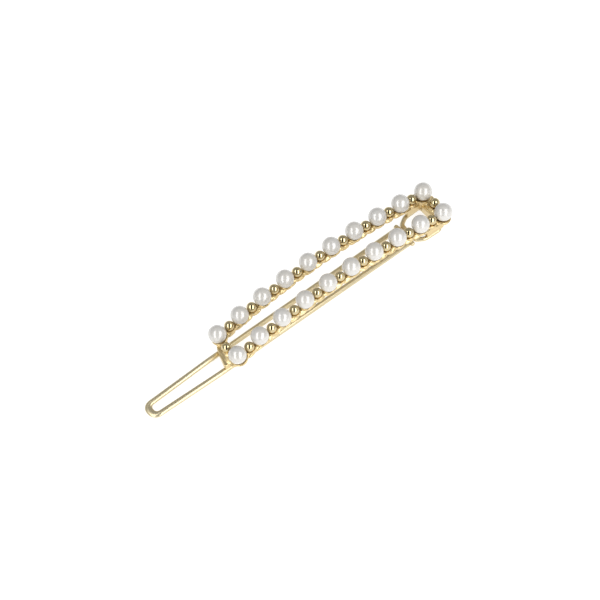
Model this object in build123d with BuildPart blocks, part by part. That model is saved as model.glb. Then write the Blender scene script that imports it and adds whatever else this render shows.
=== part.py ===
"""Hair slide: an arched metal frame set with two rows of imitation pearls and small metal
beads, closed by a long U-shaped wire tongue that hinges in a wire bow under one end.

Millimetres. +Z is up, towards the pearls, and +X points to the hinge end. The origin is on
the surface that the wires rest on, below the middle of the whole length.
"""

import os
from math import cos, degrees, sin

from build123d import *

# Driving dimensions
pearl_diameter = 4.0
bead_diameter = 2.24
pearls_per_row = 10
pearl_pitch = 6.275        # along the arch, at the height of the pearl centres
row_spacing = 6.945        # between the two rows of pearls
arch_radius = 115.94       # to the pearl centres
tongue_wire_diameter = 1.2
bow_wire_diameter = 1.0
pearl_height = 8.95        # pearl centres at the top of the arch, above the wires' underside
tongue_reach = 20.0        # how far the tongue's tip stands past the end pearls
glue_gap = 0.02

# Frame casting, measured along the arch's radius from the pearl centres
rail_width = 1.8
rail_top = -1.85
rail_bottom = -2.9
rail_rounding = 0.3
end_bar_width = 3.0
end_bar_shift = 0.9        # the end bars stand out past the end pearls
pearl_seat_radius = 1.6
pearl_seat_top = -1.6
pearl_seat_bottom = -2.5
bead_seat_radius = 1.15
bead_seat_top = -1.6
bead_seat_bottom = -2.65
bead_drop = 0.7255         # bead centres lie lower than the pearl centres
end_bead_shift = 0.55
peg_radius = 0.4
peg_top = -0.9

# End walls under the frame: one carries the bow, and the tongue closes against the other
wall_half_width = 2.7
wall_length = 1.8
hinge_wall_inset = 2.75    # from the end pearls' outside to the wall's middle
catch_wall_inset = 0.7
wall_overlap = 0.5         # how far a wall runs up into its end bar
tongue_stop_gap = 0.03

# Skirts under the rails at the hinge end, down to the sides of the bow
skirt_width = 1.3
skirt_start = 3.2          # past the pin
skirt_end = 7.6
skirt_start_top = 4.1
skirt_end_top = 3.2

# Hinge, from the middle outwards: bow eyes, tongue eyes, pin heads
pin_radius = 0.32
pin_inset = 10.26          # from the end pearls' outside to the pin
eye_radius = 0.6           # an eye's underside is level with its wire's
bow_eye_y = 0.95
bow_eye_width = 0.9
tongue_eye_y = 2.0
tongue_eye_width = 0.8
fixed_fit = 0.01           # the pin is staked in the bow
running_fit = 0.05         # the tongue turns on the pin
head_radius = 0.5
head_gap = 0.05
head_length = 0.75
head_rounding = 0.3

# Wire paths: the tongue's legs draw together slightly, and more towards the tip
tongue_leg_y = 2.2
tongue_waist_y = 2.12
tongue_waist_inset = 18.0  # from the tip
tongue_tip_y = 1.65
tongue_waist_bend = 30.0
tongue_tip_bend = 1.6
bow_start = 0.3            # past the pin
bow_neck = 1.2
bow_neck_y = 2.4
bow_shoulder = 2.9
bow_shoulder_y = 3.52
bow_end = 7.15
bow_half_width = 3.7
bow_bends = [0.6, 0.9, 2.0, 0.9, 0.9, 2.0, 0.9, 0.6]

# Worked out
pearl_radius = pearl_diameter / 2
bead_radius = bead_diameter / 2
tongue_wire_radius = tongue_wire_diameter / 2
bow_wire_radius = bow_wire_diameter / 2
half_row = (pearls_per_row - 1) * pearl_pitch / 2
end_pearl_x = arch_radius * sin(half_row / arch_radius) + pearl_radius
length = 2 * end_pearl_x + tongue_reach
arch_x = length / 2 - end_pearl_x
arch_z = pearl_height - arch_radius
hinge_end_x = length / 2
catch_end_x = arch_x - end_pearl_x
tip_x = -length / 2
pin_x = hinge_end_x - pin_inset
pin_z = eye_radius


def station(along, across, rise=0.0):
    """A plane on the arch: its normal is the arch's radius, and its x follows the arch."""
    angle = along / arch_radius
    radius = arch_radius + rise
    return Plane(
        origin=(arch_x + radius * sin(angle), across, arch_z + radius * cos(angle)),
        x_dir=(cos(angle), 0, -sin(angle)),
        z_dir=(sin(angle), 0, cos(angle)),
    )


def places(stations, rise):
    """Locations at one height over a list of (along, across) stations."""
    return [station(along, across, rise).location for along, across in stations]


def arch_outline(low, high, reach):
    """The side view of a stretch of the arch between two heights."""
    half_angle = degrees(reach / arch_radius)
    centre = (arch_x, arch_z)
    with BuildLine(Plane.XZ) as outline:
        outer = CenterArc(centre, arch_radius + high, 90 - half_angle, 2 * half_angle)
        inner = CenterArc(centre, arch_radius + low, 90 - half_angle, 2 * half_angle)
        Line(outer @ 0, inner @ 0)
        Line(outer @ 1, inner @ 1)
    return outline.edges()


def save(piece, name):
    """Labels a finished piece and writes it under its own name."""
    piece.part.label = name
    export_step(piece.part, f"parts/{name}.step")


os.makedirs("parts", exist_ok=True)

rows = (-row_spacing / 2, row_spacing / 2)
pearl_steps = [i * pearl_pitch - half_row for i in range(pearls_per_row)]
bead_steps = [step + pearl_pitch / 2 for step in pearl_steps[:-1]]
end_bead = half_row + end_bead_shift
pearl_stations = [(step, y) for y in rows for step in pearl_steps]
bead_stations = [(step, y) for y in rows for step in bead_steps]
bead_stations += [(-end_bead, 0), (end_bead, 0)]

# Frame: one casting, an arched ring with a dished seat under every stone
end_bar_middle = half_row + end_bar_shift
end_bar_z = station(end_bar_middle, 0, rail_bottom).origin.Z
skirt_outline = [
    (pin_x + skirt_start, bow_wire_diameter + fixed_fit),
    (pin_x + skirt_end, bow_wire_diameter + fixed_fit),
    (pin_x + skirt_end, skirt_end_top),
    (pin_x + skirt_start, skirt_start_top),
]
with BuildPart() as frame:
    with BuildSketch(Plane.XZ):
        make_face(arch_outline(rail_bottom, rail_top, end_bar_middle + end_bar_width / 2))
    extrude(amount=(row_spacing + rail_width) / 2, both=True)
    with BuildSketch(Plane.XZ):
        make_face(arch_outline(2 * rail_bottom, 0, end_bar_middle - end_bar_width / 2))
    extrude(amount=(row_spacing - rail_width) / 2, both=True, mode=Mode.SUBTRACT)
    fillet(frame.edges(), rail_rounding)
    for wall_x, wall_bottom in (
        (hinge_end_x - hinge_wall_inset, bow_wire_radius),
        (catch_end_x + catch_wall_inset, tongue_wire_diameter + tongue_stop_gap),
    ):
        with BuildSketch(Plane.XY.offset(wall_bottom)):
            with Locations((wall_x, 0)):
                RectangleRounded(wall_length, 2 * wall_half_width, rail_rounding)
        extrude(amount=end_bar_z + wall_overlap - wall_bottom)
    for row in rows:
        with BuildSketch(Plane.XZ.offset(row)):
            Polygon(*skirt_outline, align=None)
        extrude(amount=skirt_width / 2, both=True)
    with Locations(*places(pearl_stations, pearl_seat_bottom)):
        Cylinder(
            pearl_seat_radius,
            pearl_seat_top - pearl_seat_bottom,
            align=(Align.CENTER, Align.CENTER, Align.MIN),
        )
    with Locations(*places(bead_stations, bead_seat_bottom)):
        Cylinder(
            bead_seat_radius,
            bead_seat_top - bead_seat_bottom,
            align=(Align.CENTER, Align.CENTER, Align.MIN),
        )
    with Locations(*places(pearl_stations, 0)):
        Sphere(pearl_radius + glue_gap, mode=Mode.SUBTRACT)
    with Locations(*places(bead_stations, -bead_drop)):
        Sphere(bead_radius + glue_gap, mode=Mode.SUBTRACT)
    with Locations(*places(pearl_stations, pearl_seat_bottom)):
        Cylinder(
            peg_radius,
            peg_top - pearl_seat_bottom,
            align=(Align.CENTER, Align.CENTER, Align.MIN),
        )
    with Locations((pin_x + bow_end, 0, bow_wire_radius)):
        Cylinder(
            bow_wire_radius + fixed_fit,
            2 * row_spacing,
            rotation=(90, 0, 0),
            mode=Mode.SUBTRACT,
        )
save(frame, "frame")

# Pearls: half-drilled, each glued over a peg
for number, (along, across) in enumerate(pearl_stations, start=1):
    with BuildPart(station(along, across)) as pearl:
        Sphere(pearl_radius)
        with Locations((0, 0, -pearl_diameter)):
            Cylinder(
                peg_radius + glue_gap,
                pearl_diameter + peg_top + glue_gap,
                align=(Align.CENTER, Align.CENTER, Align.MIN),
                mode=Mode.SUBTRACT,
            )
    save(pearl, f"pearl_{number:02d}")

# Metal beads between the pearls and in the middle of each end
for number, (along, across) in enumerate(bead_stations, start=1):
    with BuildPart(station(along, across, -bead_drop)) as bead:
        Sphere(bead_radius)
    save(bead, f"bead_{number:02d}")

# Spring bow: a horseshoe of wire, soldered to the end wall, with an eye on each end
half_bow = [
    (pin_x + bow_start, bow_eye_y),
    (pin_x + bow_neck, bow_eye_y),
    (pin_x + bow_neck, bow_neck_y),
    (pin_x + bow_shoulder, bow_shoulder_y),
    (pin_x + bow_end, bow_half_width),
]
with BuildPart() as spring_bow:
    with BuildLine(Plane.XY.offset(bow_wire_radius)) as bow_path:
        mirrored = [(x, -y) for x, y in reversed(half_bow)]
        FilletPolyline(*half_bow, *mirrored, radius=bow_bends)
    with BuildSketch(Plane(bow_path.line @ 0, z_dir=bow_path.line % 0)):
        Circle(bow_wire_radius)
    sweep()
    with Locations((pin_x, bow_eye_y, pin_z), (pin_x, -bow_eye_y, pin_z)):
        Cylinder(eye_radius, bow_eye_width, rotation=(90, 0, 0))
    with Locations((pin_x, 0, pin_z)):
        Cylinder(
            pin_radius + fixed_fit, 2 * row_spacing, rotation=(90, 0, 0), mode=Mode.SUBTRACT
        )
save(spring_bow, "spring_bow")

# Tongue: a long U of thicker wire, with an eye on each end that turns on the pin
half_tongue = [
    (pin_x - head_radius - fixed_fit, tongue_leg_y),
    (tip_x + tongue_waist_inset, tongue_waist_y),
    (tip_x + tongue_wire_radius, tongue_tip_y),
]
tongue_bends = [tongue_waist_bend, tongue_tip_bend, tongue_tip_bend, tongue_waist_bend]
with BuildPart() as tongue:
    with BuildLine(Plane.XY.offset(tongue_wire_radius)) as tongue_path:
        mirrored = [(x, -y) for x, y in reversed(half_tongue)]
        FilletPolyline(*half_tongue, *mirrored, radius=tongue_bends)
    with BuildSketch(Plane(tongue_path.line @ 0, z_dir=tongue_path.line % 0)):
        Circle(tongue_wire_radius)
    sweep()
    with Locations((pin_x, tongue_eye_y, pin_z), (pin_x, -tongue_eye_y, pin_z)):
        Cylinder(eye_radius, tongue_eye_width, rotation=(90, 0, 0))
    with Locations((pin_x, 0, pin_z)):
        Cylinder(
            pin_radius + running_fit, 2 * row_spacing, rotation=(90, 0, 0), mode=Mode.SUBTRACT
        )
save(tongue, "tongue")

# Hinge pin: a rivet with a rounded head outside each eye of the tongue
head_start = tongue_eye_y + tongue_eye_width / 2 + head_gap
head_middle = head_start + head_length / 2
with BuildPart() as hinge_pin:
    with Locations((pin_x, 0, pin_z)):
        Cylinder(pin_radius, 2 * head_middle, rotation=(90, 0, 0))
    with Locations((pin_x, head_middle, pin_z), (pin_x, -head_middle, pin_z)):
        Cylinder(head_radius, head_length, rotation=(90, 0, 0))
    rims = hinge_pin.edges().filter_by(GeomType.CIRCLE).group_by(Axis.Y)
    fillet(rims[0] + rims[-1], head_rounding)
save(hinge_pin, "hinge_pin")
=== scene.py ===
from math import asin, cos, pi, sin, sqrt, tan

import bmesh
import bpy
from mathutils import Matrix, Vector, noise


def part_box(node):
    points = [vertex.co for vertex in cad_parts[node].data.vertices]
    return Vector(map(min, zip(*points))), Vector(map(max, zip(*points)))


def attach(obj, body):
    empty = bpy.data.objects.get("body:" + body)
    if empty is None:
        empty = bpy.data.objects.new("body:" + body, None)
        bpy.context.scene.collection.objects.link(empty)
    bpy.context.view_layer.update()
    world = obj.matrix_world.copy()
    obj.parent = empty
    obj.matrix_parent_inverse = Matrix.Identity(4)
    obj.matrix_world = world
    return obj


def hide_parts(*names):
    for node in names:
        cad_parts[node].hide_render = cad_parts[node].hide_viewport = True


bl_info = {
    "name": "Pearl Hair Slide",
    "version": (1, 0, 0),
    "blender": (4, 5, 0),
    "location": "View3D > Sidebar > Hair Slide",
    "description": "Builds an arched hair slide with pearls, metal beads and a wire tongue",
    "category": "Object",
}

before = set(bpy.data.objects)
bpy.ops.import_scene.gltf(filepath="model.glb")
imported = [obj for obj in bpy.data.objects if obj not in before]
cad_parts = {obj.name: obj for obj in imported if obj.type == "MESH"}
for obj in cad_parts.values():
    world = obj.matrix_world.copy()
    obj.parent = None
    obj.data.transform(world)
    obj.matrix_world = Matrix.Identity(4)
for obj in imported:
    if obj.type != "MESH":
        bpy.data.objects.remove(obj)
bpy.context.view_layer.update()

MM = 0.001
FRAME_BODY = "frame"
TONGUE_BODY = "tongue"


# ---------------------------------------------------------------- places from the frame


def stones(prefix):
    """{node: (centre, radius)} of the round stones whose names start with a word."""
    found = {}
    for node in sorted(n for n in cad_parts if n.startswith(prefix)):
        low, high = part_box(node)
        radius = (high.y - low.y) / 2
        middle = (low + high) / 2
        found[node] = (Vector((middle.x, middle.y, high.z - radius)), radius)
    return found


def circle_through(a, b, c):
    """Centre (x, z) and radius of the circle through three points, seen from the side."""
    mid_1, mid_2 = (a + b) / 2, (b + c) / 2
    dir_1, dir_2 = b - a, c - b
    rhs_1 = dir_1.x * mid_1.x + dir_1.z * mid_1.z
    rhs_2 = dir_2.x * mid_2.x + dir_2.z * mid_2.z
    scale = dir_1.x * dir_2.z - dir_1.z * dir_2.x
    x = (rhs_1 * dir_2.z - rhs_2 * dir_1.z) / scale
    z = (dir_1.x * rhs_2 - dir_2.x * rhs_1) / scale
    return x, z, sqrt((a.x - x) ** 2 + (a.z - z) ** 2)


PEARLS = stones("pearl_")
BEADS = stones("bead_")
ROW = [PEARLS[node][0] for node in sorted(PEARLS)[: len(PEARLS) // 2]]
ARCH_X, ARCH_Z, ARCH_RADIUS = circle_through(ROW[0], ROW[len(ROW) // 2], ROW[-1])
ROW_Y = abs(ROW[0].y)
HALF_ROW = asin((ROW[-1].x - ARCH_X) / ARCH_RADIUS) * ARCH_RADIUS
PIN_LOW, PIN_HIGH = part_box("hinge_pin")
PIN = (PIN_LOW + PIN_HIGH) / 2
TONGUE_LOW, TONGUE_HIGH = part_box("tongue")
BOW_LOW, BOW_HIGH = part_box("spring_bow")
CAST_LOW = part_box("frame")[0]
PEARL_RADIUS = PEARLS["pearl_01"][1]
END_PEARLS = [centre for centre, _ in PEARLS.values() if abs(centre.x - ARCH_X) > HALF_ROW * 0.95]

# Casting. CATCH_BAR_OUTER is (across, out) in millimetres from the end pearls' middles.
END_BAR_SHIFT = 0.9 * MM
END_BAR_HALF = 1.6 * MM
CATCH_BAR_INNER = 0.6 * MM
CATCH_BAR_OUTER = (
    (-4.4, 1.6),
    (-3.5, 2.4),
    (-1.9, 3.0),
    (-0.1, 2.3),
    (1.6, 1.2),
    (4.4, 0.9),
)
CATCH_WALL_SKEW = 0.33
BEAD_DROP = 0.7255 * MM
SEAT_RIM = -1.6 * MM
END_SEAT_GROWTH = 0.3 * MM
RAIL_MIDDLE = -2.4 * MM
WALL_LENGTH = 1.8 * MM
WALL_HALF_WIDTH = 2.7 * MM
HINGE_WALL = 7.51 * MM
CATCH_WALL = 0.8 * MM
CATCH_BOTTOM = 1.23 * MM
SKIRT_HALF = 0.7 * MM
SKIRT_START = (3.2 * MM, 4.1 * MM)
SKIRT_END = (7.6 * MM, 3.2 * MM)

# Hinge and wires, measured from the pin
FIT = 0.015 * MM
RUNNING_GAP = 0.05 * MM
HEAD_LENGTH = 0.75 * MM
LEG_END = 0.51 * MM
TONGUE_EYE_Y = 2.0 * MM
TONGUE_EYE_HALF = 0.4 * MM
WAIST_INSET = 18.0 * MM
WAIST_BEND = 30.0 * MM
TIP_BEND = 1.55 * MM
BOW_EYE_Y = 0.95 * MM
BOW_EYE_HALF = 0.45 * MM
BOW_START = 0.42 * MM
BOW_NECK = (1.2 * MM, 2.4 * MM)
BOW_SHOULDER = (2.9 * MM, 3.52 * MM)
BOW_BENDS = [r * MM for r in (0.6, 0.9, 2.0, 0.9, 0.9, 2.0, 0.9, 0.6)]

# The wire is hammered flatter at the tongue's tip
FLAT_REACH = 2.6 * MM
FLAT_WIDTH = 0.42
FLAT_HEIGHT = 0.25


# ---------------------------------------------------------------- settings


def length_property(name, description, millimetres):
    """A length setting in metres, with its default given in millimetres."""
    return bpy.props.FloatProperty(
        name=name,
        description=description,
        default=millimetres * MM,
        min=0.0,
        precision=5,
        subtype="DISTANCE",
        unit="LENGTH",
    )


def colour_property(name, description, colour):
    """A colour setting."""
    return bpy.props.FloatVectorProperty(
        name=name, description=description, default=colour, min=0.0, max=1.0, subtype="COLOR"
    )


class HairSlideSizes(bpy.types.PropertyGroup):
    """Sizes of the pieces that the frame's boxes don't give."""

    tongue_wire: length_property("Tongue wire", "Diameter of the tongue's wire", 1.2)
    bow_wire: length_property("Bow wire", "Diameter of the spring bow's wire", 1.0)
    rail_width: length_property("Rail width", "Width of each cast rail", 1.8)
    rail_top: length_property("Rail top", "Depth of the rails' top below the pearl centres", 1.85)
    rail_bottom: length_property("Rail bottom", "Depth of the rails' underside", 2.9)
    pearl_seat: length_property("Pearl seat", "Radius of the dish under a pearl", 1.62)
    bead_seat: length_property("Bead seat", "Radius of the dish under a bead", 1.2)
    scallop: length_property("Scallop", "Spacing of the lobes along the rails' lower edges", 2.4)
    voxel: length_property("Casting grain", "Size of the cells that the casting is made from", 0.1)
    pin: length_property("Pin", "Diameter of the hinge pin", 0.64)
    eye: length_property("Eye", "Outer radius of the eyes on the pin", 0.6)
    waist: length_property("Waist", "Spacing of the tongue's wires before they draw in", 4.24)
    tip_spacing: length_property("Tip spacing", "Spacing of the tongue's wires at the tip", 3.3)


class HairSlideColours(bpy.types.PropertyGroup):
    """Colours of the finishes and of the floor."""

    pearl: colour_property("Pearl", "Body colour of the pearl lacquer", (0.575, 0.55, 0.505))
    pearl_cool: colour_property("Pearl, cool", "Cooler patches in the lacquer", (0.55, 0.54, 0.52))
    wire: colour_property("Wire", "Pale gold of the wires", (0.66, 0.58, 0.39))
    bead: colour_property("Bead", "Pale gold of the metal beads", (0.58, 0.49, 0.29))
    casting: colour_property("Casting", "Gold of the cast frame", (0.72, 0.58, 0.32))
    # Browner gold laid into the casting's recesses as painted shade, and into random mottled
    # patches
    recess_shade_and_mottle: colour_property("Recess_shade_and_mottle", "Browner gold in the recesses", (0.52, 0.37, 0.16))
    floor: colour_property("Floor", "Colour of the floor", (0.42, 0.42, 0.42))


# ---------------------------------------------------------------- mesh helpers


def station(along, across, rise=0.0):
    """A matrix on the arch: its z is the arch's radius and its x follows the arch."""
    angle = along / ARCH_RADIUS
    radius = ARCH_RADIUS + rise
    spot = Matrix.Translation((ARCH_X + radius * sin(angle), across, ARCH_Z + radius * cos(angle)))
    return spot @ Matrix.Rotation(angle, 4, "Y")


def oval(half_width, half_height, power=2.0, steps=24):
    """Points of an oval that gets squarer as its power rises."""
    points = []
    for i in range(steps):
        c, s = cos(2 * pi * i / steps), sin(2 * pi * i / steps)
        x = half_width * abs(c) ** (2 / power) * (1 if c >= 0 else -1)
        y = half_height * abs(s) ** (2 / power) * (1 if s >= 0 else -1)
        points.append((x, y))
    return points


def between_points(points, x):
    """The height of a line through (x, y) points, eased between each two."""
    for (x0, y0), (x1, y1) in zip(points, points[1:]):
        if x <= x1:
            share = max((x - x0) / (x1 - x0), 0.0)
            return y0 + (y1 - y0) * share * share * (3 - 2 * share)
    return points[-1][1]


def loft(mesh, rings):
    """Joins rings of points with faces and closes both ends."""
    verts = [[mesh.verts.new(point) for point in ring] for ring in rings]
    count = len(verts[0])
    for ring, following in zip(verts, verts[1:]):
        for i in range(count):
            j = (i + 1) % count
            mesh.faces.new((ring[i], ring[j], following[j], following[i]))
    mesh.faces.new(list(reversed(verts[0])))
    mesh.faces.new(verts[-1])


def lathe(mesh, matrix, profile, steps=48):
    """Turns a (radius, height) profile about a matrix's z axis. Its ends lie on the axis."""
    rings = []
    for radius, height in profile[1:-1]:
        turns = [2 * pi * i / steps for i in range(steps)]
        rings.append(
            [matrix @ Vector((radius * cos(a), radius * sin(a), height)) for a in turns]
        )
    verts = [[mesh.verts.new(point) for point in ring] for ring in rings]
    first = mesh.verts.new(matrix @ Vector((0, 0, profile[0][1])))
    last = mesh.verts.new(matrix @ Vector((0, 0, profile[-1][1])))
    for i in range(steps):
        j = (i + 1) % steps
        for ring, following in zip(verts, verts[1:]):
            mesh.faces.new((ring[i], ring[j], following[j], following[i]))
        mesh.faces.new((first, verts[0][j], verts[0][i]))
        mesh.faces.new((verts[-1][i], verts[-1][j], last))


def ball(centre, radius, cells=14):
    """A mesh of a round ball of even cells: a cube whose points are pushed onto a sphere."""
    mesh = bmesh.new()
    bmesh.ops.create_cube(mesh, size=2.0)
    bmesh.ops.subdivide_edges(mesh, edges=mesh.edges[:], cuts=cells - 1, use_grid_fill=True)
    for vert in mesh.verts:
        spread = Vector([tan(value * pi / 4) for value in vert.co])
        vert.co = centre + spread.normalized() * radius
    return mesh


def new_piece(name, mesh, material, body, slot, *nodes):
    """Turns a bmesh into a piece that rides on a body and stands for CAD nodes."""
    bmesh.ops.recalc_face_normals(mesh, faces=mesh.faces[:])
    data = bpy.data.meshes.new(name)
    mesh.to_mesh(data)
    mesh.free()
    data.shade_smooth()
    piece = bpy.data.objects.new(name, data)
    bpy.context.scene.collection.objects.link(piece)
    data.materials.append(material)
    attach(piece, body)
    if nodes:
        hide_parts(*nodes)
    return piece


def apply_modifiers(piece):
    """Replaces a piece's mesh by the one that its modifiers make."""
    graph = bpy.context.evaluated_depsgraph_get()
    made = bpy.data.meshes.new_from_object(piece.evaluated_get(graph))
    piece.modifiers.clear()
    piece.data = made
    made.shade_smooth()


def fillet_path(corners, radii, steps=12):
    """Points of a path of straight runs, with its corners rounded to the given radii."""
    points = [Vector(corners[0])]
    for before, corner, after, radius in zip(corners, corners[1:], corners[2:], radii):
        corner = Vector(corner)
        back = (Vector(before) - corner).normalized()
        ahead = (Vector(after) - corner).normalized()
        turn = pi - back.angle(ahead)
        reach = radius * tan(turn / 2)
        pull = 1 - 4 / 3 * tan(turn / 4) / tan(turn / 2)
        start, end = corner + back * reach, corner + ahead * reach
        start_handle, end_handle = corner + back * reach * pull, corner + ahead * reach * pull
        for i in range(steps + 1):
            t = i / steps
            points.append(
                start * (1 - t) ** 3
                + start_handle * 3 * t * (1 - t) ** 2
                + end_handle * 3 * t * t * (1 - t)
                + end * t**3
            )
    points.append(Vector(corners[-1]))
    return points


def wire_rings(path, radius, flatness=None):
    """Rings along a flat path, lying square to it and rounded off at both ends.

    Where flatness, from 0 to 1 at a point, is given, the wire is wider and lower there.
    """
    edge = radius * 0.3
    run = [path[0], path[0].lerp(path[1], edge / (path[1] - path[0]).length)] + path[1:-1]
    run += [path[-1].lerp(path[-2], edge / (path[-1] - path[-2]).length), path[-1]]
    rings = []
    for i, point in enumerate(run):
        before, after = run[max(i - 1, 0)], run[min(i + 1, len(run) - 1)]
        along = (after - before).normalized()
        side = Vector((-along.y, along.x, 0))
        size = radius * (0.78 if i in (0, len(run) - 1) else 1.0)
        flat = flatness(point) if flatness else 0.0
        width, height = size * (1 + FLAT_WIDTH * flat), size * (1 - FLAT_HEIGHT * flat)
        centre = point - Vector((0, 0, radius * FLAT_HEIGHT * flat))
        rings.append([centre + side * x + Vector((0, 0, y)) for x, y in oval(width, height)])
    return rings


def hoop(mesh, y, hole, outer, half_width, steps=48):
    """A closed eye round the pin, with softened edges."""
    section = oval(half_width, (outer - hole) / 2, 4)
    middle = (outer + hole) / 2
    rings = []
    for i in range(steps):
        angle = 2 * pi * i / steps
        out = Vector((cos(angle), 0, sin(angle)))
        centre = Vector((PIN.x, y, PIN.z)) + out * middle
        rings.append([centre + Vector((0, across, 0)) + out * up for across, up in section])
    verts = [[mesh.verts.new(point) for point in ring] for ring in rings]
    count = len(section)
    for ring, following in zip(verts, verts[1:] + verts[:1]):
        for i in range(count):
            j = (i + 1) % count
            mesh.faces.new((ring[i], ring[j], following[j], following[i]))


# ---------------------------------------------------------------- materials


class Finish:
    """A node material in the making, with short ways to add its nodes."""

    def __init__(self, name):
        self.material = bpy.data.materials.new(name)
        self.material.use_nodes = True
        self.tree = self.material.node_tree
        self.shader = self.tree.nodes["Principled BSDF"]
        self.place = self.tree.nodes.new("ShaderNodeTexCoord").outputs["Object"]

    def node(self, kind, inputs=(), **settings):
        """Adds a node, sets its properties, and sets or links its inputs."""
        made = self.tree.nodes.new(kind)
        for name, value in settings.items():
            setattr(made, name, value)
        for name, value in dict(inputs).items():
            self.feed(made.inputs[name], value)
        return made

    def feed(self, socket, value):
        """Links a socket to another node's output, or sets its value."""
        if isinstance(value, bpy.types.NodeSocket):
            self.tree.links.new(value, socket)
        else:
            socket.default_value = value

    def noise(self, scale, detail=3.0, stretch=(1, 1, 1)):
        """A noise value, scaled in cells a metre and stretched along the axes."""
        mapped = self.node("ShaderNodeMapping", {"Vector": self.place, "Scale": stretch})
        made = self.node(
            "ShaderNodeTexNoise",
            {"Vector": mapped.outputs["Vector"], "Scale": scale, "Detail": detail},
        )
        return made.outputs["Fac"]

    def between(self, value, low, high):
        """Spreads a 0 to 1 value over a range."""
        made = self.node(
            "ShaderNodeMapRange",
            {"Value": value, "From Min": 0.3, "From Max": 0.7, "To Min": low, "To Max": high},
        )
        return made.outputs["Result"]

    def one_minus(self, value):
        """Turns a 0 to 1 value round."""
        made = self.node("ShaderNodeMath", {0: 1.0, 1: value}, operation="SUBTRACT")
        return made.outputs["Value"]

    def mix(self, share, first, second):
        """Mixes two colours."""
        made = self.node("ShaderNodeMix", data_type="RGBA")
        for socket, value in ((0, share), (6, first), (7, second)):
            self.feed(made.inputs[socket], value)
        return made.outputs[2]

    def bump(self, height, strength, distance):
        """Raises the surface by a value."""
        made = self.node(
            "ShaderNodeBump", {"Height": height, "Strength": strength, "Distance": distance}
        )
        self.feed(self.shader.inputs["Normal"], made.outputs["Normal"])

    def set(self, **values):
        """Sets the shader's own sockets, with _ for the spaces in their names."""
        for name, value in values.items():
            self.feed(self.shader.inputs[name.replace("_", " ")], value)


def rgba(colour):
    """A colour setting as four numbers."""
    return (*colour, 1.0)


def pearl_lacquer(colours):
    """Imitation pearl: a milky body under a clear, very glossy lacquer."""
    finish = Finish("pearl_lacquer")
    patches = finish.between(finish.noise(260.0), 0.0, 1.0)
    finish.set(
        Base_Color=finish.mix(patches, rgba(colours.pearl), rgba(colours.pearl_cool)),
        Roughness=finish.between(finish.noise(900.0), 0.4, 0.5),
        IOR=1.5,
        Subsurface_Weight=0.1,
        Subsurface_Radius=(0.9, 0.8, 0.7),
        Subsurface_Scale=0.6 * MM,
        Coat_Weight=1.0,
        Coat_Roughness=0.03,
        Coat_IOR=2.0,
    )
    finish.bump(finish.noise(500.0, 1.0), 0.02, 0.01 * MM)
    return finish.material


def plating(name, fresh, mottle_and_shade_colour, recess, rough, grain, bump, stretch=(1, 1, 1)):
    """Gold plating: painted shade turns it a browner gold in the recesses, random mottling browns
    it too, and it is finely uneven all over.
    """
    finish = Finish(name)
    # Painted shade: ambient occlusion finds the recesses, and the colour there is darkened towards
    # the second, browner colour
    ambient_shade = finish.node("ShaderNodeAmbientOcclusion", {"Distance": 0.8 * MM}, samples=8)
    unshaded = finish.node(
        "ShaderNodeMapRange",
        {"Value": ambient_shade.outputs["AO"], "From Min": recess, "From Max": 0.95},
    )
    mottle = finish.between(finish.noise(420.0), 0.0, 0.2)
    # Random mottling and the painted shade in the recesses; whichever is stronger picks the
    # browner colour
    mottle_and_painted_shade = finish.node(
        "ShaderNodeMath",
        {0: mottle, 1: finish.one_minus(unshaded.outputs["Result"])},
        operation="MAXIMUM",
    )
    finish.set(
        Base_Color=finish.mix(mottle_and_painted_shade.outputs["Value"], rgba(fresh), rgba(mottle_and_shade_colour)),
        Metallic=1.0,
        Roughness=finish.between(finish.noise(grain, 4.0, stretch), rough, rough + 0.08),
    )
    finish.bump(finish.noise(grain, 5.0, stretch), bump, 0.02 * MM)
    return finish.material


# ---------------------------------------------------------------- pieces


def casting_rails(mesh, sizes):
    """Two arched rails and two end bars, drawn out along the arch."""
    half_width = sizes.rail_width / 2
    half_depth = (sizes.rail_bottom - sizes.rail_top) / 2
    middle = -(sizes.rail_bottom + sizes.rail_top) / 2
    reach = HALF_ROW + END_BAR_SHIFT
    section = oval(half_width, half_depth, 3.4)
    steps = 90
    for across in (-ROW_Y, ROW_Y):
        rings = []
        for i in range(steps + 1):
            place = station(reach * (2 * i / steps - 1), across, middle)
            rings.append([place @ Vector((0, x, z)) for x, z in section])
        loft(mesh, rings)
    for end in (-1, 1):
        place = station(end * reach, 0, middle)
        span = ROW_Y + half_width * 0.6
        rings = []
        for i in range(25):
            share = i / 12 - 1
            shift, half = 0.0, half_width + (END_BAR_HALF - half_width) * (1 - share**4)
            if end < 0:
                outer = between_points(CATCH_BAR_OUTER, share * span / MM) * MM
                half = (outer + CATCH_BAR_INNER) / 2
                shift = END_BAR_SHIFT - (outer - CATCH_BAR_INNER) / 2
            bar = oval(half, half_depth, 3.4)
            rings.append([place @ Vector((x + shift, share * span, z)) for x, z in bar])
        loft(mesh, rings)


def casting_seats(mesh, sizes):
    """A flared dish under every pearl and bead."""
    for stones_here, radius, drop in (
        (PEARLS, sizes.pearl_seat, 0.0),
        (BEADS, sizes.bead_seat, BEAD_DROP),
    ):
        for centre, _ in stones_here.values():
            along = asin((centre.x - ARCH_X) / (ARCH_RADIUS - drop)) * ARCH_RADIUS
            place = station(along, centre.y)
            floor = -sizes.rail_bottom
            wide = radius + (END_SEAT_GROWTH if centre in END_PEARLS else 0.0)
            lathe(
                mesh,
                place,
                (
                    (0, floor + 0.1 * MM),
                    (wide * 0.72, floor + 0.15 * MM),
                    (wide * 0.86, floor + 0.4 * MM),
                    (wide * 0.95, floor + 0.75 * MM),
                    (wide, SEAT_RIM - 0.18 * MM),
                    (wide * 0.97, SEAT_RIM),
                    (wide * 0.8, SEAT_RIM - 0.03 * MM),
                    (0, SEAT_RIM - 0.1 * MM),
                ),
                32,
            )


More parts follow.
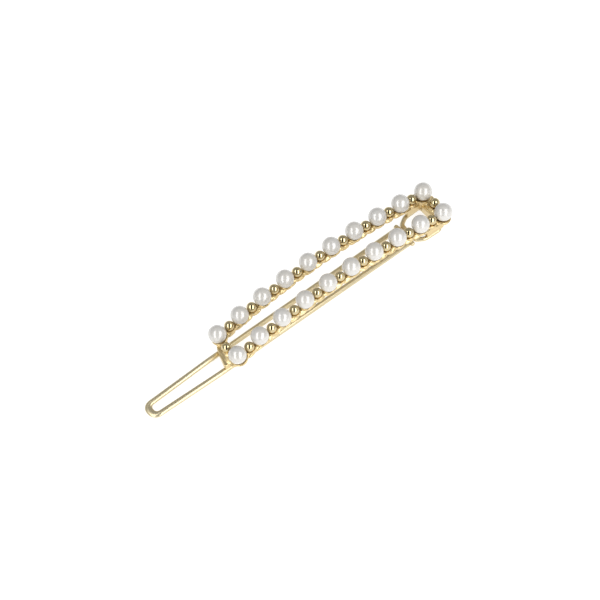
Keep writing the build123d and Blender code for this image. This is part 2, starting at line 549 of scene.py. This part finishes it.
def casting_scallops(mesh, sizes):
    """Small lobes along both lower edges of both rails."""
    count = int(2 * HALF_ROW / sizes.scallop)
    spacing = 2 * HALF_ROW / count
    for row in (-ROW_Y, ROW_Y):
        for side in (-1, 1):
            across = row + side * (sizes.rail_width / 2 + 0.02 * MM)
            for i in range(count + 1):
                place = station(i * spacing - HALF_ROW, across, 0.38 * MM - sizes.rail_bottom)
                lobe = Matrix.Diagonal((spacing * 0.46, 0.34 * MM, 0.4 * MM, 1))
                bmesh.ops.create_icosphere(
                    mesh, subdivisions=3, radius=1.0, matrix=place @ lobe
                )


def casting_walls(mesh):
    """The hinge wall, which reaches down behind the bow, and the wall that stops the tongue."""
    top = station(HALF_ROW + END_BAR_SHIFT, 0, RAIL_MIDDLE).translation.z
    hinge_x = PIN.x + HINGE_WALL
    catch_x = ROW[0].x - PEARL_RADIUS + CATCH_WALL
    walls = ((hinge_x, CAST_LOW.z, 0.0), (catch_x, CATCH_BOTTOM, CATCH_WALL_SKEW))
    for x, bottom, skew in walls:
        outline = oval(WALL_LENGTH / 2, WALL_HALF_WIDTH, 7, 40)
        edge = 0.12 * MM
        rings = []
        for z, inset in ((bottom, edge), (bottom + edge, 0), (top, 0)):
            rings.append(
                [
                    (
                        x + skew * b + a * (1 - inset / (WALL_LENGTH / 2)),
                        b * (1 - inset / WALL_HALF_WIDTH),
                        z,
                    )
                    for a, b in outline
                ]
            )
        loft(mesh, rings)


def casting_skirts(mesh, bottom):
    """Short skirts under the rails at the hinge end, down to the sides of the bow."""
    for row in (-ROW_Y, ROW_Y):
        rings = []
        for i in range(9):
            share = i / 8
            x = PIN.x + SKIRT_START[0] + (SKIRT_END[0] - SKIRT_START[0]) * share
            top = SKIRT_START[1] + (SKIRT_END[1] - SKIRT_START[1]) * share
            half_height, middle = (top - bottom) / 2, (top + bottom) / 2
            rings.append([(x, row + a, middle + b) for a, b in oval(SKIRT_HALF, half_height, 5)])
        loft(mesh, rings)


def make_room(piece, spots, gap):
    """Moves a mesh's points out of the stones that sit in it, which leaves dished seats."""
    for vert in piece.data.vertices:
        for centre, radius in spots:
            out = vert.co - centre
            if out.length < radius + gap:
                vert.co = centre + out.normalized() * (radius + gap)


def make_room_for_bow(piece, wire_radius, gap):
    """Moves a mesh's points out of the straight end of the bow, which leaves its groove."""
    x, z = BOW_HIGH.x - wire_radius, BOW_LOW.z + wire_radius
    for vert in piece.data.vertices:
        out = Vector((vert.co.x - x, 0, vert.co.z - z))
        if out.length < wire_radius + gap:
            out = out.normalized() * (wire_radius + gap)
            vert.co.x, vert.co.z = x + out.x, z + out.z


class HAIRSLIDE_OT_casting(bpy.types.Operator):
    """Casts the frame in one piece: rails, end bars, seats, scalloped edges and end walls"""

    bl_idname = "hair_slide.make_casting"
    bl_label = "Make casting"

    def execute(self, context):
        sizes = context.scene.hair_slide_sizes
        colours = context.scene.hair_slide_colours
        mesh = bmesh.new()
        casting_rails(mesh, sizes)
        casting_seats(mesh, sizes)
        casting_scallops(mesh, sizes)
        casting_walls(mesh)
        casting_skirts(mesh, sizes.bow_wire + FIT)
        # The second colour goes into the recesses as painted shade and into random mottled patches
        finish = plating(
            "cast_plating", colours.casting, colours.recess_shade_and_mottle, 0.2, 0.27, 1000.0, 0.1
        )
        piece = new_piece("cast_frame", mesh, finish, FRAME_BODY, "cast_metal", "frame")
        remesh = piece.modifiers.new("fuse", "REMESH")
        remesh.mode = "VOXEL"
        remesh.voxel_size = sizes.voxel
        smooth = piece.modifiers.new("soften", "SMOOTH")
        smooth.factor = 0.5
        smooth.iterations = 4
        apply_modifiers(piece)
        spots = list(PEARLS.values()) + list(BEADS.values())
        make_room(piece, spots, FIT)
        make_room_for_bow(piece, sizes.bow_wire / 2, FIT)
        thin = piece.modifiers.new("thin_out", "DECIMATE")
        thin.ratio = 0.45
        apply_modifiers(piece)
        if not piece.data.vertices:
            raise RuntimeError("the casting came out empty")
        return {"FINISHED"}


class HAIRSLIDE_OT_pearls(bpy.types.Operator):
    """Makes the imitation pearls, each very slightly out of round"""

    bl_idname = "hair_slide.make_pearls"
    bl_label = "Make pearls"

    def execute(self, context):
        lacquer = pearl_lacquer(context.scene.hair_slide_colours)
        for node, (centre, radius) in PEARLS.items():
            mesh = ball(centre, radius)
            for vert in mesh.verts:
                out = (vert.co - centre).normalized()
                swell = 0.004 * noise.noise(out * 1.3 + centre / radius) - 0.002
                vert.co += out * radius * swell
            new_piece(f"{node}_stone", mesh, lacquer, FRAME_BODY, "pearl", node)
        return {"FINISHED"}


class HAIRSLIDE_OT_beads(bpy.types.Operator):
    """Makes the polished metal beads between the pearls and at the ends"""

    bl_idname = "hair_slide.make_beads"
    bl_label = "Make beads"

    def execute(self, context):
        colours = context.scene.hair_slide_colours
        # The casting colour is mixed into the beads as random mottling and as painted shade in
        # their recesses
        finish = plating("bead_plating", colours.bead, colours.casting, 0.2, 0.04, 900.0, 0.02)
        for node, (centre, radius) in BEADS.items():
            mesh = ball(centre, radius, 12)
            new_piece(f"{node}_ball", mesh, finish, FRAME_BODY, "bead_metal", node)
        return {"FINISHED"}


def wire_plating(context):
    """The finish of the drawn wire, shared by the tongue, the bow and the pin."""
    made = bpy.data.materials.get("wire_plating")
    if made:
        return made
    colours = context.scene.hair_slide_colours
    stretch = (0.08, 1, 1)
    # The casting colour is mixed into the wires as random mottling and as painted shade in their
    # recesses
    return plating("wire_plating", colours.wire, colours.casting, 0.3, 0.34, 900.0, 0.04, stretch)


def tip_flatness(point, radius):
    """How far the hammering at the tongue's tip has flattened the wire at a point, 0 to 1."""
    share = min(max((TONGUE_LOW.x + FLAT_REACH + radius - point.x) / FLAT_REACH, 0), 1)
    return share * share * (3 - 2 * share)


class HAIRSLIDE_OT_tongue(bpy.types.Operator):
    """Bends the tongue: a long U of wire with an eye on each end, round the pin"""

    bl_idname = "hair_slide.make_tongue"
    bl_label = "Make tongue"

    def execute(self, context):
        sizes = context.scene.hair_slide_sizes
        radius = sizes.tongue_wire / 2
        tip_x = TONGUE_LOW.x + radius * (1 + FLAT_WIDTH)
        half = [
            (PIN.x - LEG_END, TONGUE_HIGH.y - radius, radius),
            (TONGUE_LOW.x + WAIST_INSET, sizes.waist / 2, radius),
            (tip_x, sizes.tip_spacing / 2, radius),
        ]
        corners = half + [(x, -y, z) for x, y, z in reversed(half)]
        path = fillet_path(corners, [WAIST_BEND, TIP_BEND, TIP_BEND, WAIST_BEND], 16)
        mesh = bmesh.new()
        loft(mesh, wire_rings(path, radius, lambda point: tip_flatness(point, radius)))
        for side in (-1, 1):
            hole = sizes.pin / 2 + RUNNING_GAP
            hoop(mesh, side * TONGUE_EYE_Y, hole, sizes.eye, TONGUE_EYE_HALF)
        new_piece("tongue_wire", mesh, wire_plating(context), TONGUE_BODY, "wire_metal", "tongue")
        return {"FINISHED"}


class HAIRSLIDE_OT_bow(bpy.types.Operator):
    """Bends the spring bow: a horseshoe of wire that carries the pin in its two eyes"""

    bl_idname = "hair_slide.make_bow"
    bl_label = "Make bow"

    def execute(self, context):
        sizes = context.scene.hair_slide_sizes
        radius = sizes.bow_wire / 2
        half = [
            (PIN.x + BOW_START, BOW_EYE_Y, radius),
            (PIN.x + BOW_NECK[0], BOW_EYE_Y, radius),
            (PIN.x + BOW_NECK[0], BOW_NECK[1], radius),
            (PIN.x + BOW_SHOULDER[0], BOW_SHOULDER[1], radius),
            (BOW_HIGH.x - radius, BOW_HIGH.y - radius, radius),
        ]
        corners = half + [(x, -y, z) for x, y, z in reversed(half)]
        mesh = bmesh.new()
        loft(mesh, wire_rings(fillet_path(corners, BOW_BENDS), radius))
        for side in (-1, 1):
            hoop(mesh, side * BOW_EYE_Y, sizes.pin / 2 + FIT, sizes.eye, BOW_EYE_HALF)
        new_piece("bow_wire", mesh, wire_plating(context), FRAME_BODY, "wire_metal", "spring_bow")
        return {"FINISHED"}


class HAIRSLIDE_OT_pin(bpy.types.Operator):
    """Turns the hinge pin, with a rounded, slightly flattened head on each end"""

    bl_idname = "hair_slide.make_pin"
    bl_label = "Make pin"

    def execute(self, context):
        shank = context.scene.hair_slide_sizes.pin / 2
        head = (PIN_HIGH.z - PIN_LOW.z) / 2
        end = (PIN_HIGH.y - PIN_LOW.y) / 2
        under = end - HEAD_LENGTH
        half = [
            (shank, under),
            (head * 0.93, under + 0.02 * MM),
            (head, under + 0.1 * MM),
            (head, end - 0.3 * MM),
            (head * 0.92, end - 0.14 * MM),
            (head * 0.72, end - 0.04 * MM),
            (head * 0.4, end - 0.005 * MM),
            (0, end),
        ]
        mesh = bmesh.new()
        place = Matrix.Translation(PIN) @ Matrix.Rotation(-pi / 2, 4, "X")
        profile = [(radius, -height) for radius, height in reversed(half)] + half
        lathe(mesh, place, profile, 32)
        new_piece("pin_rivet", mesh, wire_plating(context), FRAME_BODY, "wire_metal", "hinge_pin")
        return {"FINISHED"}


# ---------------------------------------------------------------- stage

VIEW_BACK = Vector((-0.296, -0.463, 0.835)).normalized()
VIEW_UP = Vector((0.544, 0.636, 0.546))
VIEW_DISTANCE = 3.0
VIEW_WIDTH = 127.66 * MM
SENSOR = 36.0
AIM_RIGHT = -6.299 * MM
AIM_UP = -7.645 * MM
SOFTBOX_DISTANCE = 0.4
FLOOR_HALF = 3.0
FLOOR_GLOW = 1.9
WORLD_GREY = 0.42

# Softboxes and card: left, right, bottom and top as tangents from the target, then the power
SOFTBOX_LEFT = (-1.05, -0.4, -1.25, 0.87, 3.1)
SOFTBOX_RIGHT = (0.34, 1.35, -1.25, 0.87, 3.2)
CARD_SPAN = (0.5, -1.3, 0.95)
CARD_SETBACK = 1.05
CARD_BLACK = (0.01, 0.01, 0.01)


def view_axes():
    """Right, up and back of the main view."""
    right = VIEW_UP.cross(VIEW_BACK).normalized()
    return right, VIEW_BACK.cross(right).normalized(), VIEW_BACK


def softbox(name, target, left, right, bottom, top, power):
    """A tall soft light beside the view, spanning the given tangents as seen from the target."""
    across, up, back = view_axes()
    reach = SOFTBOX_DISTANCE
    light = bpy.data.lights.new(name, "AREA")
    light.shape = "RECTANGLE"
    light.size = (right - left) * reach
    light.size_y = (top - bottom) * reach
    light.energy = power * light.size * light.size_y * pi
    lamp = bpy.data.objects.new(name, light)
    spot = target + (back + across * (left + right) / 2 + up * (bottom + top) / 2) * reach
    turn = Matrix((across, up, back)).transposed().to_4x4()
    lamp.matrix_world = Matrix.Translation(spot) @ turn
    lamp.visible_camera = False
    bpy.context.scene.collection.objects.link(lamp)


def dark_card(name, target, half_width, bottom, top, material):
    """A dark card beyond the softboxes, seen only in reflections."""
    across, up, back = view_axes()
    reach = SOFTBOX_DISTANCE * CARD_SETBACK
    corners = []
    for x, y in ((-1, bottom), (1, bottom), (1, top), (-1, top)):
        corners.append(target + (back + across * half_width * x + up * y) * reach)
    card = panel_mesh(name, corners, material)
    card.visible_camera = False
    card.visible_shadow = False


def panel_mesh(name, corners, material):
    """A flat four-cornered piece of the stage."""
    data = bpy.data.meshes.new(name)
    data.from_pydata(corners, [], [(0, 1, 2, 3)])
    made = bpy.data.objects.new(name, data)
    data.materials.append(material)
    bpy.context.scene.collection.objects.link(made)
    return made


def plain_material(name, colour, roughness, glow=0.0):
    """A plain matt finish for the stage."""
    finish = Finish(name)
    finish.set(Base_Color=rgba(colour), Roughness=roughness)
    finish.set(Emission_Color=rgba(colour), Emission_Strength=glow)
    return finish.material


class HAIRSLIDE_OT_stage(bpy.types.Operator):
    """Sets the floor, the camera and the soft lights"""

    bl_idname = "hair_slide.make_stage"
    bl_label = "Make stage"

    def execute(self, context):
        scene = context.scene
        colours = scene.hair_slide_colours
        across, up, back = view_axes()
        target = Vector((ARCH_X, 0, ARCH_Z + ARCH_RADIUS))

        data = bpy.data.cameras.new("view")
        data.sensor_width = SENSOR
        data.lens = SENSOR * VIEW_DISTANCE / VIEW_WIDTH
        data.clip_end = 10.0
        camera = bpy.data.objects.new("view", data)
        spot = target + across * AIM_RIGHT + up * AIM_UP + back * VIEW_DISTANCE
        turn = Matrix((across, up, back)).transposed().to_4x4()
        camera.matrix_world = Matrix.Translation(spot) @ turn
        scene.collection.objects.link(camera)
        scene.camera = camera

        half = FLOOR_HALF
        floor = plain_material("floor_paper", colours.floor, 0.9, FLOOR_GLOW)
        panel_mesh(
            "floor",
            [(-half, -half, 0), (half, -half, 0), (half, half, 0), (-half, half, 0)],
            floor,
        )
        softbox("softbox_left", target, *SOFTBOX_LEFT)
        softbox("softbox_right", target, *SOFTBOX_RIGHT)
        card = plain_material("card_black", CARD_BLACK, 0.9)
        dark_card("card", target, *CARD_SPAN, card)

        world = bpy.data.worlds.new("studio")
        world.use_nodes = True
        grey = (WORLD_GREY, WORLD_GREY, WORLD_GREY, 1)
        world.node_tree.nodes["Background"].inputs["Color"].default_value = grey
        world.node_tree.nodes["Background"].inputs["Strength"].default_value = 1.0
        scene.world = world
        scene.view_settings.view_transform = "Standard"
        return {"FINISHED"}


# ---------------------------------------------------------------- panel and registration

STEPS = (
    HAIRSLIDE_OT_casting,
    HAIRSLIDE_OT_pearls,
    HAIRSLIDE_OT_beads,
    HAIRSLIDE_OT_tongue,
    HAIRSLIDE_OT_bow,
    HAIRSLIDE_OT_pin,
    HAIRSLIDE_OT_stage,
)


class HAIRSLIDE_PT_panel(bpy.types.Panel):
    """Lists the sizes, the colours and the steps that build the slide"""

    bl_label = "Hair Slide"
    bl_idname = "HAIRSLIDE_PT_panel"
    bl_space_type = "VIEW_3D"
    bl_region_type = "UI"
    bl_category = "Hair Slide"

    def draw(self, context):
        for settings in (context.scene.hair_slide_sizes, context.scene.hair_slide_colours):
            box = self.layout.box()
            for name in settings.__annotations__:
                box.prop(settings, name)
        for step in STEPS:
            self.layout.operator(step.bl_idname)


CLASSES = (HairSlideSizes, HairSlideColours, *STEPS, HAIRSLIDE_PT_panel)


def register():
    """Registers the classes and puts the settings on the scene."""
    for made in CLASSES:
        bpy.utils.register_class(made)
    bpy.types.Scene.hair_slide_sizes = bpy.props.PointerProperty(type=HairSlideSizes)
    bpy.types.Scene.hair_slide_colours = bpy.props.PointerProperty(type=HairSlideColours)


def unregister():
    """Takes the settings and the classes away again."""
    del bpy.types.Scene.hair_slide_colours
    del bpy.types.Scene.hair_slide_sizes
    for made in reversed(CLASSES):
        bpy.utils.unregister_class(made)


def main():
    register()
    for step in STEPS:
        group, name = step.bl_idname.split(".")
        getattr(getattr(bpy.ops, group), name)()


if __name__ == "__main__":
    main()
